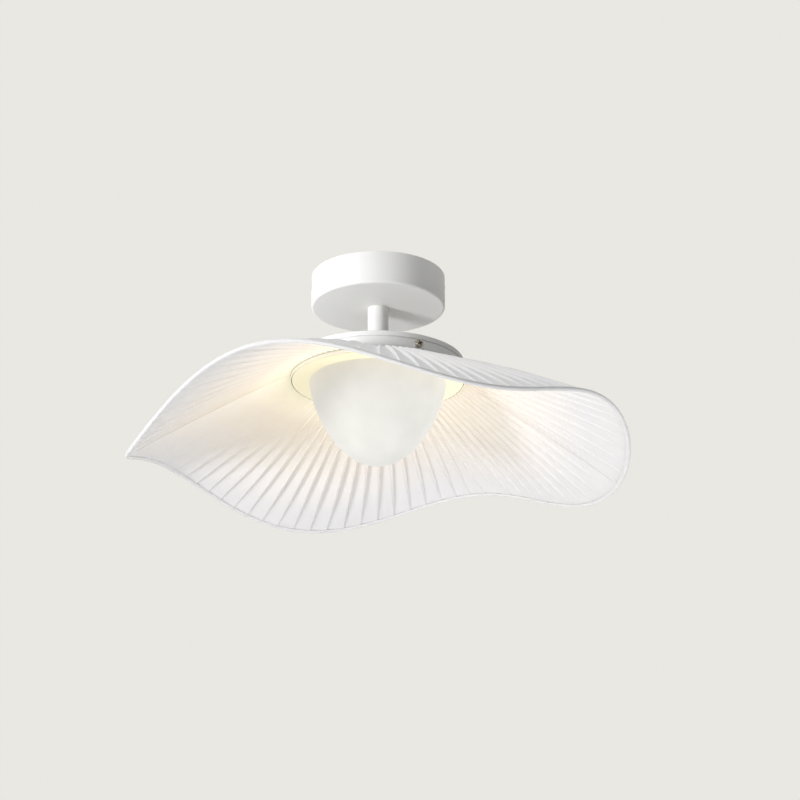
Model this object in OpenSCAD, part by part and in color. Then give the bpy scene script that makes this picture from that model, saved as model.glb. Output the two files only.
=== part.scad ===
// Pleated ceiling light: a ceiling cup and stem carry a round lamp drum with an opal dome,
// and a wavy pleated shade sits round the drum's lower edge. The origin is the centre of the
// bracket's top face, on the ceiling, and everything hangs below it. The viewer is on -Y.

/* [Ceiling bracket] */
// Width of the steel strap
strap_w = 22; // [18:1:30]
// Thickness of the strap
strap_t = 1.6; // [1.2:0.1:2.5]
// How far the strap's ears reach down from the ceiling
ear_h = 14; // [13:0.5:18]
// Gap between an ear's outer face and the cup's inner wall, on the centre line
ear_gap = 1.5; // [1.2:0.1:2.5]
// Distance between the two ceiling fixing holes
fixing_span = 84; // [80:1:90]
// Diameter of a ceiling fixing hole
fixing_d = 5; // [4:0.1:6]
// Diameter of the hole that the house cable comes through
entry_d = 12; // [8:0.5:14]
// Distance of the earth screw from the middle
earth_x = 24; // [20:0.5:28]

/* [Ceiling cup] */
// Outer diameter of the cup
cup_d = 122; // [116:1:140]
// Height of the cup
cup_h = 30.5; // [28:0.5:40]
// Wall of the cup
cup_wall = 1.2; // [0.8:0.1:2]
// Thickness of the cup's floor
cup_floor = 1.6; // [1:0.1:2.5]
// Radius of the cup's lower edge
cup_edge_r = 2.2; // [2:0.1:4]
// Depth of the two cup screws below the ceiling
cup_screw_drop = 9; // [8:0.5:10]

/* [Terminal block] */
// Length of the block along the strap
block_l = 24; // [20:1:26]
// Width of the block
block_w = 17; // [14:0.5:20]
// Height of the block
block_h = 13; // [9:0.5:15]
// Distance of the block's middle from the cup's middle
block_x = 20; // [19:0.5:22]

/* [Stem] */
// Outer diameter of the stem
stem_d = 19; // [16:0.5:26]
// Length of the stem between cup and drum
stem_len = 52; // [40:1:300]
// Diameter of the wiring bore through the stem
stem_bore = 8; // [7:0.5:9]
// Depth of the threaded seat at each end of the stem
seat_depth = 12; // [8:0.5:16]
// Outer diameter of the threaded nipples
nipple_d = 10; // [9.5:0.1:11]
// Bore of the threaded nipples
nipple_bore = 7; // [6.5:0.1:8]
// Width across the flats of the lock nuts
nut_flats = 14; // [13:0.5:17]
// Height of a lock nut
nut_h = 3.6; // [2.5:0.1:4]
// Thickness of a lock nut's washer
washer_t = 1; // [0.6:0.1:1.5]

/* [Lamp drum] */
// Outer diameter of the drum
drum_d = 155.4; // [150:0.5:165]
// Height of the drum with its bottom plate
drum_h = 19.5; // [19:0.25:26]
// Height of the top cap's skirt
cap_h = 4.6; // [4:0.1:5]
// Sheet thickness of the cap, the drum wall and the pan
sheet_t = 1.2; // [1:0.05:1.4]
// Step from the cap's skirt in to the drum wall, seen as a fine line
wall_step = 0.4; // [0.2:0.05:0.8]
// Height of the side screws above the drum's lower face
side_screw_h = 9.9; // [9.9:0.1:11]
// Direction of the first side screw, which the others follow by thirds of a turn
side_screw_az = -63; // [-75:1:-50]
// Height of the pan's inner skirt
pan_skirt_h = 15; // [14.5:0.1:15.5]

/* [Light source] */
// Diameter of the light board
board_d = 100; // [90:1:104]
// Thickness of the light board
board_t = 1.6; // [1:0.1:2]
// Number of light chips in the outer ring
chips_outer = 24; // [12:1:28]
// Number of light chips in the inner ring
chips_inner = 12; // [8:1:14]
// Thickness of the aluminium heat plate
heat_t = 2; // [1.5:0.1:2.3]
// Length of the driver's case
driver_l = 62; // [50:1:64]
// Width of the driver's case
driver_w = 30; // [24:1:32]
// Height of the driver's case
driver_h = 9; // [7:0.5:9.5]

/* [Opal dome] */
// Outer diameter of the dome at its base
dome_d = 124; // [122:0.5:130]
// Depth of the dome below the drum
dome_h = 77.8; // [60:0.5:90]
// Roundness of the dome: 2 is an ellipse, less is more pointed
dome_power = 1.43; // [1.3:0.01:2]
// Wall of the dome
dome_wall = 2.2; // [1.8:0.1:3]
// Outer diameter of the dome's neck, which passes through the pan
neck_d = 115.6; // [112:0.2:116]
// Reach of a bayonet lug beyond the neck
lug_reach = 2.8; // [2:0.1:3]
// Turn from locked to free, in degrees
dome_turn = 25; // [20:1:30]

/* [Shade] */
// Number of pleats
pleats = 84; // [60:2:90]
// Mean radius of the rim, at the rim wire's centre
rim_r = 220; // [190:1:240]
// Mean drop of the rim wire below the drum's lower face
rim_drop = 65; // [50:0.5:75]
// Up and down swing of the rim's four waves
wave_swing = 17; // [0:0.5:22]
// Upward bow of a pleat between hub and rim
pleat_bow = 3; // [0:0.5:6]
// Fold height of the pleats half way out
fold_mid = 3.2; // [1:0.1:4]
// Fold height of the pleats at the hub
fold_hub = 1.4; // [0.5:0.1:1.6]
// Fold height of the pleats at the rim, where the tape flattens them
fold_rim = 0.6; // [0.2:0.1:0.9]
// Share of a pleat that its wide face takes
fold_share = 0.62; // [0.5:0.01:0.75]
// Thickness of the lined fabric
fabric_t = 0.8; // [0.5:0.05:1]
// Diameter of the rim wire
wire_d = 2.4; // [2:0.1:3]
// Thickness of the rim tape
tape_t = 0.5; // [0.4:0.05:0.8]
// Width of the rim tape over the rim
tape_w = 5.5; // [5:0.1:8]
// Height of the shade ring that sits round the drum
band_h = 5; // [4.5:0.1:5]

/* [Fits] */
// Radial gap of a thread in its seat
thread_gap = 0.05; // [0.03:0.01:0.08]
// Gap between soft pieces and what they lie on
soft_gap = 0.3; // [0.2:0.05:0.5]
// Gap between pieces that turn on each other
turn_gap = 0.1; // [0.05:0.01:0.2]
// Gap round pieces that nest
nest_gap = 0.1; // [0.05:0.01:0.2]
// Gap between the drum wall and the shade ring, seen as the dark line
band_gap = 0.4; // [0.3:0.05:0.8]

/* [Hidden] */
$fn = 96;

// Heights, all measured down from the ceiling
cup_r = cup_d / 2;
cup_inner_r = cup_r - cup_wall;
floor_top = -cup_h + cup_floor;
drum_top = -cup_h - stem_len;
ring_z = drum_top - drum_h;
cap_under = drum_top - sheet_t;
pan_top = ring_z + sheet_t;
side_screw_z = ring_z + side_screw_h;

// Radii of the nested drum pieces, from the outside in
drum_r = drum_d / 2;
cap_inner_r = drum_r - sheet_t;
wall_r = drum_r - wall_step;
spigot_r = cap_inner_r - nest_gap;
wall_inner_r = spigot_r - sheet_t;
skirt_r = wall_inner_r - nest_gap;
skirt_inner_r = skirt_r - sheet_t;
heat_r = skirt_inner_r - 4 * nest_gap;
band_r = wall_r + band_gap;

// Metric screws: shank radius, and the sizes of the heads used
m4_r = 1.95;
m4_hole_r = m4_r + thread_gap;
m4_free_r = 2.25;
m3_r = 1.45;
m3_hole_r = m3_r + thread_gap;
m3_head_r = 2.75;
m3_head_h = 1.6;

// Cup screws: headless, so that the cup's wall stays plain
ear_x = cup_inner_r - ear_gap;
cup_screw_l = 9.2;
cup_screw_proud = 0.2;
cup_socket_r = 1.15;
cup_socket_depth = 2;

// Terminal block: three poles, each with two clamping screws
pole_pitch = 7;
pole_y = 4.5;
clamp_r = 1.8;
clamp_l = 5;
well_r = clamp_r + nest_gap;
well_depth = 6.5;
wire_hole_r = 1.6;
wire_hole_depth = 6;

// Earth screw and its tag
earth_head_r = 3.5;
earth_head_h = 2.6;
tag_t = 0.8;
tag_r = 8.5;
tag_reach = 17;
tag_w = 6;
lead_d = 2;

// Nipples, lock nuts and bushes
seat_r = nipple_d / 2 + thread_gap;
nipple_spare = 1;
nipple_bottom_spare = 0.4;
washer_r = 9;
bush_flange_r = 4.8;
bush_flange_t = 1;
bush_sleeve = 4;
cable_d = 4;
cable_gap = 0.3;
upper_stack = washer_t + tag_t + nut_h;
upper_nipple_top = floor_top + upper_stack + nipple_spare;
lower_nipple_bottom = cap_under - washer_t - nut_h - nipple_bottom_spare;

// Heat plate, light board and what stands on them
lug_t = 2;
lug_z = pan_top + 2 * turn_gap;
heat_bottom = lug_z + lug_t + 0.5;
heat_top = heat_bottom + heat_t;
board_z = heat_bottom - board_t;
standoff_r = 3;
standoff_inset = 10.2;
standoff_pcd_r = drum_r - standoff_inset;
standoff_az = [30, 120, 210, 300];
board_screw_pcd_r = 20;
chip_w = 2.8;
chip_t = 0.8;
chip_ring_outer = 41;
chip_ring_inner = 27;
driver_y = 16;
driver_ear = 8;
driver_ear_t = 2;
driver_ear_w = 14;
lead_x = -20;
lead_y = 10;
lead_hole_r = 2.5;
plug_l = 8;
plug_w = 7;
plug_h = 3;
plug_y = 1;

// Side screws: shank, pan head with a cross recess, and washer
side_count = 3;
side_cut = 12;
side_shank_reach = 5.1;
side_shank_in = skirt_inner_r - side_shank_reach;
bush_r = 3.5;
bush_l = 4;
side_washer_r = 4.4;
side_washer_t = 0.8;
side_head_r = 3.9;
side_head_h = 2.4;
side_head_top_r = 2.7;
cross_w = 0.9;
cross_l = 4.2;
cross_depth = 1.3;

// Bayonet: lugs on the dome's neck and notches in the pan's opening
neck_r = neck_d / 2;
opening_r = neck_r + 0.7;
lug_r = neck_r + lug_reach;
notch_r = lug_r + 0.5;
lug_half = 7;
notch_half = 8.5;
lug_count = 3;
lug_az = 10;
neck_wall = 1.8;
dome_base = ring_z - 2 * turn_gap;
shelf_t = dome_wall;
dome_steps = 20;

// Shade ring
band_wall = 0.8;
lip_r = skirt_r + band_gap;
lip_z = pan_top + turn_gap;
band_bottom = ring_z + 0.2;
band_top = band_bottom + band_h;
band_outer_r = band_r + band_wall;
wall_bottom = lip_z + band_wall + turn_gap;

// Shade: the hub line, and slow waves that make the rim a little uneven.
// Each wave is [waves per turn, size, direction of its first crest].
hub_r = band_outer_r + soft_gap;
hub_z = ring_z + 4.2;
wave_count = 4;
wave_az = 19.3;
rim_z_waves = [[1, 2.2, 19.5], [2, 5.4, 6.9]];
rim_r_waves = [[1, 3.9, 180], [2, 3.6, 110], [3, 4.6, 0], [4, 3.6, 1]];
rim_steps = 120;
seam_az = 188.6;
left_seam = round(seam_az * pleats / 360);
fabric_rows = [0, 0.25, 0.5, 0.75, 1];
wire_sides = 6;

// Route of the supply cable, from the terminal block down the stem to the driver
supply_route = concat(
    [[-block_x, -block_w / 2, -8], [-block_x, -14, -8], [-15, -19, -8.5], [-7, -17, -9.5],
     [-2, -10, -10.5], [0, -3, -13], [0, 0, -18], [0, 0, upper_nipple_top]],
    [for (k = [1 : 5]) [0, 0, upper_nipple_top + (lower_nipple_bottom - upper_nipple_top) * k / 5]],
    [[0, 1.5, lower_nipple_bottom - 3.4], [0, 5.5, heat_top + 2.6], [0, 10, heat_top + 2.5],
     [0, driver_y, heat_top + 2.5]]);
// Route of the earth lead, from the tag up to the earth screw
earth_route = [[tag_reach - 2, 0, floor_top + washer_t + tag_t + lead_d / 2 + 0.1],
    [tag_reach + 2, 1, floor_top + 5], [earth_x, 2, -18], [earth_x + 1, 2, -12],
    [earth_x, 0, -strap_t - earth_head_h - lead_d / 2 - 0.1]];
// Route of the board lead, from the driver down through the heat plate to the board
board_route = [[lead_x, driver_y, heat_top + 3.5], [lead_x, 12.5, heat_top + 3],
    [lead_x, lead_y, heat_top], [lead_x, lead_y, board_z], [lead_x, lead_y - 0.3, board_z - 1],
    [lead_x, plug_y + plug_w / 2, board_z - plug_h / 2]];

// General shapes

// A turned cup with its mouth at z = 0 and its floor at z = -h
module turned_cup(r, h, wall, floor_t, edge_r, hole_r) {
    rotate_extrude() difference() {
        union() {
            translate([0, -h + edge_r]) square([r, h - edge_r]);
            translate([0, -h]) square([r - edge_r, h]);
            translate([r - edge_r, -h + edge_r]) circle(edge_r, $fn = 48);
        }
        translate([0, -h + floor_t]) square([r - wall, h]);
        translate([0, -h - 1]) square([hole_r, h]);
    }
}

// A ring from z = bottom upwards
module ring(r, hole_r, bottom, height) {
    translate([0, 0, bottom]) difference() {
        cylinder(r = r, h = height);
        translate([0, 0, -1]) cylinder(r = hole_r, h = height + 2);
    }
}

// A wedge-shaped cutter that reaches out to r, half_angle each side of direction az
module wedge(r, half_angle, az, bottom, height) {
    reach = r / cos(half_angle);
    translate([0, 0, bottom]) rotate([0, 0, az]) linear_extrude(height)
        polygon([[0, 0], [reach * cos(half_angle), -reach * sin(half_angle)],
                 [reach * cos(half_angle), reach * sin(half_angle)]]);
}

// Puts its children at a radius and direction, with their z axis pointing outwards
module facing_out(r, az, z) {
    rotate([0, 0, az]) translate([r, 0, z]) rotate([0, 90, 0]) children();
}

// A small screw along z: the shank runs down from z = 0, the head sits above
module small_screw(shank_r, length, head_r, head_h) {
    translate([0, 0, -length]) cylinder(r = shank_r, h = length + head_h / 2, $fn = 32);
    difference() {
        cylinder(r = head_r, h = head_h, $fn = 48);
        translate([0, 0, head_h]) cube([head_r * 1.2, cross_w * 0.7, head_h], center = true);
        translate([0, 0, head_h]) cube([cross_w * 0.7, head_r * 1.2, head_h], center = true);
    }
}

function unit(v) = v / norm(v);
function spline(a, b, c, d, t) = 0.5 * (2 * b + (c - a) * t
    + (2 * a - 5 * b + 4 * c - d) * t * t + (3 * b - a - 3 * c + d) * t * t * t);
// A smooth line through the route's points, with steps points for each span
function smooth_route(p, steps) = concat([for (i = [0 : len(p) - 2], s = [0 : steps - 1])
    spline(p[max(i - 1, 0)], p[i], p[i + 1], p[min(i + 2, len(p) - 1)], s / steps)],
    [p[len(p) - 1]]);
function along(p, i) = unit(p[min(i + 1, len(p) - 1)] - p[max(i - 1, 0)]);
// Carries a side direction along the line, so that the tube doesn't twist
function carried(p, sides, i) = i == len(p) ? sides
    : carried(p, concat(sides, [unit(sides[i - 1] - (sides[i - 1] * along(p, i)) * along(p, i))]),
              i + 1);

// A round tube along a route, as one closed solid
module tube(route, d, steps, sides, side_start) {
    p = smooth_route(route, steps);
    first = unit(side_start - (side_start * along(p, 0)) * along(p, 0));
    u = carried(p, [first], 1);
    n = len(p);
    points = [for (i = [0 : n - 1], k = [0 : sides - 1])
        p[i] + d / 2 * (cos(360 * k / sides) * u[i]
                        + sin(360 * k / sides) * cross(along(p, i), u[i]))];
    walls = [for (i = [0 : n - 2], k = [0 : sides - 1])
        let (a = i * sides + k, b = i * sides + (k + 1) % sides)
        each [[a, b + sides, b], [a, a + sides, b + sides]]];
    ends = [[for (k = [0 : sides - 1]) k],
            [for (k = [sides - 1 : -1 : 0]) (n - 1) * sides + k]];
    polyhedron(points, concat(walls, ends));
}

// A closed loop of like sections, each a closed outline in its own radial plane
module loop_solid(sections) {
    n = len(sections);
    m = len(sections[0]);
    points = [for (s = sections, q = s) q];
    faces = [for (i = [0 : n - 1], k = [0 : m - 1])
        let (j = (i + 1) % n, a = i * m + k, b = i * m + (k + 1) % m,
             c = j * m + k, d = j * m + (k + 1) % m)
        each [[a, d, b], [a, c, d]]];
    polyhedron(points, faces);
}

// A sheet between two rows of points: each section runs out along its lower side and back along its
// upper one. The faces of both sides split along the same diagonals, so that they fold alike
module sheet_solid(sections) {
    n = len(sections);
    m = len(sections[0]);
    points = [for (s = sections, q = s) q];
    walls = [for (i = [0 : n - 2], k = [0 : m - 1])
        let (a = i * m + k, b = i * m + (k + 1) % m, c = a + m, d = b + m)
        each k < m / 2 ? [[a, d, b], [a, c, d]] : [[a, c, b], [b, c, d]]];
    last = (n - 1) * m;
    ends = [for (k = [0 : m / 2 - 2]) let (a = k, b = k + 1, c = m - 2 - k, d = m - 1 - k)
        each [[a, b, c], [a, c, d], [last + a, last + c, last + b], [last + a, last + d, last + c]]];
    polyhedron(points, concat(walls, ends));
}

// Shape of the shade's rim, by direction a

function waves(list, a) = len(list) == 0 ? 0
    : [for (w = list) w[1] * cos(w[0] * (a - w[2]))] * [for (w = list) 1];
function rim_radius(a) = rim_r + waves(rim_r_waves, a);
function rim_height(a) = ring_z - rim_drop - wave_swing * cos(wave_count * (a - wave_az))
    - waves(rim_z_waves, a);
function slope(a) = atan2(hub_z - rim_height(a), rim_radius(a) - hub_r);
// A point in the radial plane of direction a, out along the pleat and up square to it
function rim_point(a, out, up) = let (
    r = rim_radius(a) + out * cos(slope(a)) + up * sin(slope(a)),
    z = rim_height(a) - out * sin(slope(a)) + up * cos(slope(a)))
    [r * cos(a), r * sin(a), z];

fabric_end = wire_d / 2 + soft_gap + 0.1;
tape_out = wire_d / 2 + soft_gap + tape_t;
tape_in = tape_w - tape_out;
tape_under = 2.2;

// A point of the fabric: t is 0 at the hub and 1 at the rim, side is 1 on top and -1 below,
// and fold is 1 on a crest and -1 in a valley
function fabric_point(a, t, side, fold) = let (
    edge = rim_point(a, -fabric_end, 0),
    edge_r = norm([edge[0], edge[1]]),
    r = hub_r + (edge_r - hub_r) * t,
    height = t < 0.5 ? fold_hub + (fold_mid - fold_hub) * t * 2
                     : fold_mid + (fold_rim - fold_mid) * (t * 2 - 1),
    z = hub_z + (edge[2] - hub_z) * t + pleat_bow * 4 * t * (1 - t)
        + fold * height / 2 + side * fabric_t / 2)
    [r * cos(a), r * sin(a), z];

// Pieces on the ceiling

module ceiling_bracket() {
    color("silver") difference() {
        union() {
            translate([-ear_x, -strap_w / 2, -strap_t]) cube([2 * ear_x, strap_w, strap_t]);
            for (side = [-1, 1])
                translate([side * (ear_x - strap_t / 2) - strap_t / 2, -strap_w / 2, -ear_h])
                    cube([strap_t, strap_w, ear_h - strap_t / 2]);
        }
        for (side = [-1, 1]) {
            translate([side * fixing_span / 2, 0, -strap_t - 1]) cylinder(d = fixing_d, h = strap_t + 2);
            translate([side * (ear_x - strap_t / 2), 0, -cup_screw_drop]) rotate([0, 90, 0])
                cylinder(r = m4_hole_r, h = strap_t + 2, center = true);
        }
        translate([0, 0, -strap_t - 1]) cylinder(d = entry_d, h = strap_t + 2);
        translate([earth_x, 0, -strap_t - 1]) cylinder(r = m4_hole_r, h = strap_t + 2);
    }
}

module terminal_block() {
    color("ivory") difference() {
        translate([-block_x - block_l / 2, -block_w / 2, -strap_t - block_h])
            cube([block_l, block_w, block_h]);
        for (pole = [-1 : 1], side = [-1, 1]) {
            translate([-block_x + pole * pole_pitch, side * pole_y, -strap_t - block_h - 1])
                cylinder(r = well_r, h = well_depth + 1, $fn = 32);
            if (side > 0 || pole != 0)
                translate([-block_x + pole * pole_pitch, side * (block_w / 2 + 1), -strap_t - 4])
                    rotate([side * 90, 0, 0]) cylinder(r = wire_hole_r, h = wire_hole_depth + 1, $fn = 32);
        }
    }
}

module terminal_screws() {
    color("goldenrod") for (pole = [-1 : 1], side = [-1, 1])
        translate([-block_x + pole * pole_pitch, side * pole_y, -strap_t - block_h + well_depth - clamp_l])
            difference() {
                cylinder(r = clamp_r, h = clamp_l, $fn = 32);
                cube([2 * clamp_r + 1, cross_w, 1.6], center = true);
            }
}

module earth_screw() {
    color("goldenrod") translate([earth_x, 0, -strap_t]) mirror([0, 0, 1])
        small_screw(m4_r, strap_t - 0.2, earth_head_r, earth_head_h);
}

module earth_lead() {
    color("yellowgreen") tube(earth_route, lead_d, 3, 8, [0, 1, 0]);
}

module earth_tag() {
    color("goldenrod") translate([0, 0, floor_top + washer_t]) difference() {
        union() {
            cylinder(r = tag_r, h = tag_t);
            translate([0, -tag_w / 2, 0]) cube([tag_reach, tag_w, tag_t]);
        }
        translate([0, 0, -1]) cylinder(r = seat_r, h = tag_t + 2);
    }
}

module ceiling_cup() {
    color("white") difference() {
        turned_cup(cup_r, cup_h, cup_wall, cup_floor, cup_edge_r, seat_r);
        for (side = [-1, 1])
            translate([side * cup_r, 0, -cup_screw_drop]) rotate([0, 90, 0])
                cylinder(r = m4_free_r, h = 4 * cup_wall, center = true);
    }
}

module cup_screw(side) {
    color("silver") translate([0, 0, -cup_screw_drop]) rotate([0, side * 90, 0])
        translate([0, 0, cup_r + cup_screw_proud - cup_screw_l]) difference() {
            cylinder(r = m4_r, h = cup_screw_l, $fn = 48);
            translate([0, 0, cup_screw_l - cup_socket_depth])
                cylinder(r = cup_socket_r, h = cup_socket_depth + 1, $fn = 6);
        }
}

module cup_screw_left() {
    cup_screw(-1);
}

module cup_screw_right() {
    cup_screw(1);
}

// Stem and the threaded pieces that hold it

module nipple(top, bottom) {
    color("goldenrod") ring(nipple_d / 2, nipple_bore / 2, bottom, top - bottom);
}

module lock_nut(bottom) {
    color("goldenrod") translate([0, 0, bottom]) difference() {
        cylinder(d = nut_flats / cos(30), h = nut_h, $fn = 6);
        translate([0, 0, -1]) cylinder(r = seat_r, h = nut_h + 2);
    }
}

module upper_nipple() {
    nipple(upper_nipple_top, -cup_h - seat_depth + 0.3);
}

module upper_washer() {
    color("silver") ring(washer_r, seat_r, floor_top, washer_t);
}

module upper_locknut() {
    lock_nut(floor_top + washer_t + tag_t);
}

module lower_nipple() {
    nipple(drum_top + seat_depth - 0.3, lower_nipple_bottom);
}

module lower_washer() {
    color("silver") ring(washer_r, seat_r, cap_under - washer_t, washer_t);
}

module lower_locknut() {
    lock_nut(cap_under - washer_t - nut_h);
}

module nipple_bush() {
    ring(bush_flange_r, cable_d / 2 + cable_gap, 0, bush_flange_t);
    ring(nipple_bore / 2 - thread_gap, cable_d / 2 + cable_gap, -bush_sleeve, bush_sleeve + bush_flange_t / 2);
}

module nipple_bushes() {
    color("whitesmoke") translate([0, 0, upper_nipple_top]) nipple_bush();
    color("whitesmoke") translate([0, 0, lower_nipple_bottom]) mirror([0, 0, 1]) nipple_bush();
}

module stem() {
    color("white") difference() {
        translate([0, 0, drum_top]) cylinder(d = stem_d, h = stem_len);
        translate([0, 0, drum_top - 1]) cylinder(d = stem_bore, h = stem_len + 2);
        translate([0, 0, -cup_h - seat_depth]) cylinder(r = seat_r, h = seat_depth + 1);
        translate([0, 0, drum_top - 1]) cylinder(r = seat_r, h = seat_depth + 1);
    }
}

module supply_cable() {
    color("gainsboro") tube(supply_route, cable_d, 3, 8, [0, 0, 1]);
}

// Lamp drum

module drum_cap() {
    color("white") translate([0, 0, drum_top - cap_h]) mirror([0, 0, 1])
        turned_cup(drum_r, cap_h, sheet_t, sheet_t, sheet_t, seat_r);
}

module side_places() {
    for (k = [0 : side_count - 1])
        facing_out(0, side_screw_az + k * 360 / side_count, side_screw_z) children();
}

module drum_wall() {
    skirt_low = drum_top - cap_h - nest_gap;
    spigot_top = cap_under - nest_gap;
    color("white") difference() {
        rotate_extrude() polygon([[wall_inner_r, wall_bottom], [wall_r, wall_bottom],
            [wall_r, skirt_low], [spigot_r, skirt_low], [spigot_r, spigot_top], [wall_inner_r, spigot_top]]);
        side_places() translate([0, 0, wall_inner_r - side_cut / 2])
            cylinder(r = m4_free_r, h = side_cut);
    }
}

module bottom_pan() {
    color("white") difference() {
        union() {
            ring(wall_r, opening_r, ring_z, sheet_t);
            ring(skirt_r, skirt_inner_r, ring_z, pan_skirt_h);
        }
        for (k = [0 : lug_count - 1]) intersection() {
            translate([0, 0, ring_z - 1]) cylinder(r = notch_r, h = sheet_t + 2);
            wedge(notch_r + 5, notch_half, lug_az - dome_turn + k * 360 / lug_count, ring_z - 1, sheet_t + 2);
        }
        side_places() translate([0, 0, skirt_inner_r - side_cut / 2])
            cylinder(r = m4_free_r, h = side_cut);
    }
}

module pan_bushes() {
    color("silver") side_places() difference() {
        translate([0, 0, skirt_inner_r - 0.15 - bush_l]) cylinder(r = bush_r, h = bush_l);
        translate([0, 0, skirt_inner_r - 1 - bush_l]) cylinder(r = m4_hole_r, h = bush_l + 3);
    }
}

module side_screw(k) {
    head_base = wall_r + 2 * nest_gap + side_washer_t;
    color("darkgoldenrod") facing_out(0, side_screw_az + k * 360 / side_count, side_screw_z) {
        translate([0, 0, side_shank_in]) cylinder(r = m4_r, h = head_base - side_shank_in + 0.5);
        translate([0, 0, head_base]) difference() {
            rotate_extrude() polygon([[0, 0], [side_head_r, 0], [side_head_r, side_head_h * 0.4],
                [side_head_r - 0.3, side_head_h * 0.7], [side_head_top_r, side_head_h], [0, side_head_h]]);
            translate([0, 0, side_head_h]) cube([cross_l, cross_w, 2 * cross_depth], center = true);
            translate([0, 0, side_head_h]) cube([cross_w, cross_l, 2 * cross_depth], center = true);
        }
    }
}

module side_screw_1() {
    side_screw(0);
}

module side_screw_2() {
    side_screw(1);
}

module side_screw_3() {
    side_screw(2);
}

module side_washer(k) {
    color("gainsboro") facing_out(0, side_screw_az + k * 360 / side_count, side_screw_z)
        ring(side_washer_r, m4_hole_r, wall_r + nest_gap, side_washer_t);
}

module side_washer_1() {
    side_washer(0);
}

module side_washer_2() {
    side_washer(1);
}

module side_washer_3() {
    side_washer(2);
}

// Light source and driver

module heat_plate() {
    color("silver") translate([0, 0, heat_bottom]) difference() {
        cylinder(r = heat_r, h = heat_t);
        for (a = standoff_az) rotate([0, 0, a]) translate([standoff_pcd_r, 0, -1])
            cylinder(r = m3_hole_r, h = heat_t + 2, $fn = 32);
        for (k = [0 : 2]) rotate([0, 0, k * 120]) translate([board_screw_pcd_r, 0, -1])
            cylinder(r = m3_hole_r, h = heat_t + 2, $fn = 32);
        for (side = [-1, 1])
            translate([side * (driver_l + driver_ear) / 2, driver_y + driver_w / 2, -1])
                cylinder(r = m3_hole_r, h = heat_t + 2, $fn = 32);
        translate([lead_x, lead_y, -1]) cylinder(r = lead_hole_r, h = heat_t + 2);
    }
}

module standoffs() {
    color("goldenrod") for (a = standoff_az) rotate([0, 0, a]) translate([standoff_pcd_r, 0, 0])
        ring(standoff_r, m3_hole_r, pan_top, heat_bottom - pan_top);
}

module plate_screws() {
    color("silver") for (a = standoff_az) rotate([0, 0, a]) translate([standoff_pcd_r, 0, heat_top])
        small_screw(m3_r, heat_top - pan_top - 0.3, m3_head_r, m3_head_h);
}

module light_board() {
    color("white") translate([0, 0, board_z]) difference() {
        cylinder(d = board_d, h = board_t);
        for (k = [0 : 2]) rotate([0, 0, k * 120]) translate([board_screw_pcd_r, 0, -1])
            cylinder(r = m3_hole_r, h = board_t + 2, $fn = 32);
        translate([lead_x, lead_y, -1]) cylinder(r = lead_hole_r, h = board_t + 2);
    }
}

module chip_ring(count, r) {
    for (k = [0 : count - 1]) rotate([0, 0, k * 360 / count]) translate([r, 0, board_z - chip_t / 2])
        cube([chip_w, chip_w, chip_t], center = true);
}

module light_chips() {
    color("khaki") {
        chip_ring(chips_outer, chip_ring_outer);
        chip_ring(chips_inner, chip_ring_inner);
    }
}

module board_plug() {
    color("ivory") translate([lead_x - plug_l / 2, plug_y - plug_w / 2, board_z - plug_h])
        cube([plug_l, plug_w, plug_h]);
}

module board_screws() {
    color("silver") for (k = [0 : 2]) rotate([0, 0, k * 120])
        translate([board_screw_pcd_r, 0, board_z]) mirror([0, 0, 1])
            small_screw(m3_r, board_t + heat_t, m3_head_r, m3_head_h);
}

module driver() {
    color("whitesmoke") difference() {
        union() {
            translate([-driver_l / 2, driver_y, heat_top]) cube([driver_l, driver_w, driver_h]);
            translate([-driver_l / 2 - driver_ear, driver_y + driver_w / 2 - driver_ear_w / 2, heat_top])
                cube([driver_l + 2 * driver_ear, driver_ear_w, driver_ear_t]);
        }
        for (side = [-1, 1])
            translate([side * (driver_l + driver_ear) / 2, driver_y + driver_w / 2, heat_top - 1])
                cylinder(r = m3_hole_r, h = driver_ear_t + 2, $fn = 32);
    }
}

module driver_screws() {
    color("silver") for (side = [-1, 1])
        translate([side * (driver_l + driver_ear) / 2, driver_y + driver_w / 2, heat_top + driver_ear_t])
            small_screw(m3_r, driver_ear_t + heat_t, m3_head_r, m3_head_h);
}

module board_lead() {
    color("gainsboro") tube(board_route, lead_d, 3, 8, [1, 0, 0]);
}

// Opal dome with its neck and bayonet lugs

function dome_radius(r, h, depth) = r * sqrt(max(0, 1 - pow(depth / h, dome_power)));

module opal_dome() {
    r = dome_d / 2;
    inner_r = r - dome_wall;
    inner_h = dome_h - dome_wall;
    neck_top = lug_z + lug_t;
    outer = [for (k = [0 : dome_steps]) let (depth = dome_h * sin(90 * k / dome_steps))
        [dome_radius(r, dome_h, depth), dome_base - depth]];
    inner = [for (k = [dome_steps : -1 : 0])
        let (depth = shelf_t + (inner_h - shelf_t) * sin(90 * k / dome_steps))
        [dome_radius(inner_r, inner_h, depth), dome_base - depth]];
    color("whitesmoke") {
        rotate_extrude() polygon(concat([[neck_r, neck_top], [neck_r, dome_base]], outer, inner,
            [[neck_r - neck_wall, dome_base - shelf_t], [neck_r - neck_wall, neck_top]]));
        for (k = [0 : lug_count - 1]) intersection() {
            ring(lug_r, neck_r - neck_wall / 2, lug_z, lug_t);
            wedge(lug_r + 5, lug_half, lug_az + k * 360 / lug_count, lug_z - 1, lug_t + 2);
        }
    }
}

// Shade

module shade_ring() {
    color("white") rotate_extrude() polygon([[lip_r, lip_z], [band_r, lip_z], [band_r, band_bottom],
        [band_outer_r, band_bottom], [band_outer_r, band_top], [band_r, band_top],
        [band_r, lip_z + band_wall], [lip_r, lip_z + band_wall]]);
}

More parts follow.
